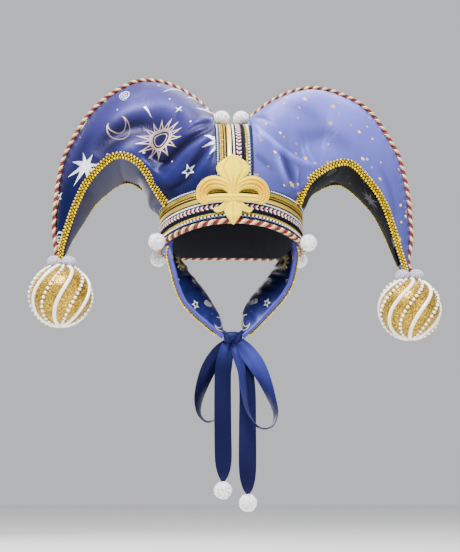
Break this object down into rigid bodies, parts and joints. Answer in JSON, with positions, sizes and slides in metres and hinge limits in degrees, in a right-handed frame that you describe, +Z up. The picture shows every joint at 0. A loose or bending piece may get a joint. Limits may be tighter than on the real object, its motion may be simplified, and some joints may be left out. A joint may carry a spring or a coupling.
{
  "type": "jester hat",
  "caption": "Two-horned stuffed satin jester hat with a trimmed headband, fleur-de-lis, glitter baubles, pompoms and ear flaps tied under the chin with a ribbon bow.",
  "frame": {"origin": "the inside top of the crown, where the head that wears the hat touches it", "axes": "+Z up, -Y the way the wearer faces, +X to the right as seen from the front"},
  "size_m": [0.5111, 0.2176, 0.5437],
  "materials": {
    "printed_satin": "satin woven, deep blue to violet, with pale line-drawn stars, moons and planets",
    "lavender_satin": "smooth satin with small gold stars",
    "grey_lavender_satin": "smooth satin",
    "navy_print": "satin with a sparse pale and gold print",
    "navy_ribbon": "satin ribbon with a woven edge",
    "black_lining": "plain matt lining",
    "metallic_trim": "rows of gold, pale gold, black, pink and blue-grey braid",
    "gold_braid": "looped metallic gimp",
    "yellow_embroidery": "raised satin stitch",
    "twisted_cord": "twisted cord of red and cream strands",
    "white_pompom": "soft cut yarn",
    "dusk_pompom": "soft cut yarn",
    "gold_glitter": "coarse gold glitter with white cords and pearl beads"
  },
  "bodies": {
    "root": {"crown_lining": "black_lining", "horn_left": "printed_satin", "horn_right": "lavender_satin", "gusset_left": "grey_lavender_satin", "gusset_right": "navy_print", "seam_cord_left": "twisted_cord", "seam_cord_right": "twisted_cord", "rim_cord": "twisted_cord", "headband": "metallic_trim", "centre_band": "metallic_trim", "fleur_de_lis": "yellow_embroidery", "flap_left_outer": "lavender_satin", "flap_right_outer": "lavender_satin", "flap_left_lining": "navy_print", "flap_right_lining": "navy_print", "bauble_left": "gold_glitter", "bauble_right": "gold_glitter", "ribbon_knot": "navy_ribbon", "ribbon_tail_left": "navy_ribbon", "ribbon_tail_right": "navy_ribbon", "ribbon_loop_left": "navy_ribbon", "ribbon_loop_right": "navy_ribbon", "top_pompom_left": "white_pompom", "top_pompom_right": "white_pompom", "corner_pompom_left_front": "white_pompom", "corner_pompom_left_rear": "white_pompom", "corner_pompom_right_front": "white_pompom", "corner_pompom_right_rear": "white_pompom", "ribbon_pompom_left": "white_pompom", "ribbon_pompom_right": "white_pompom", "tip_pompom_left_1": "dusk_pompom", "tip_pompom_left_2": "dusk_pompom", "tip_pompom_left_3": "dusk_pompom", "tip_pompom_right_1": "dusk_pompom", "tip_pompom_right_2": "dusk_pompom", "tip_pompom_right_3": "dusk_pompom", "horn_braid_left_front": "gold_braid", "horn_braid_left_rear": "gold_braid", "horn_braid_right_front": "gold_braid", "horn_braid_right_rear": "gold_braid", "flap_left_braid_front": "gold_braid", "flap_left_braid_rear": "gold_braid", "flap_right_braid_front": "gold_braid", "flap_right_braid_rear": "gold_braid"}
  },
  "joints": []
}
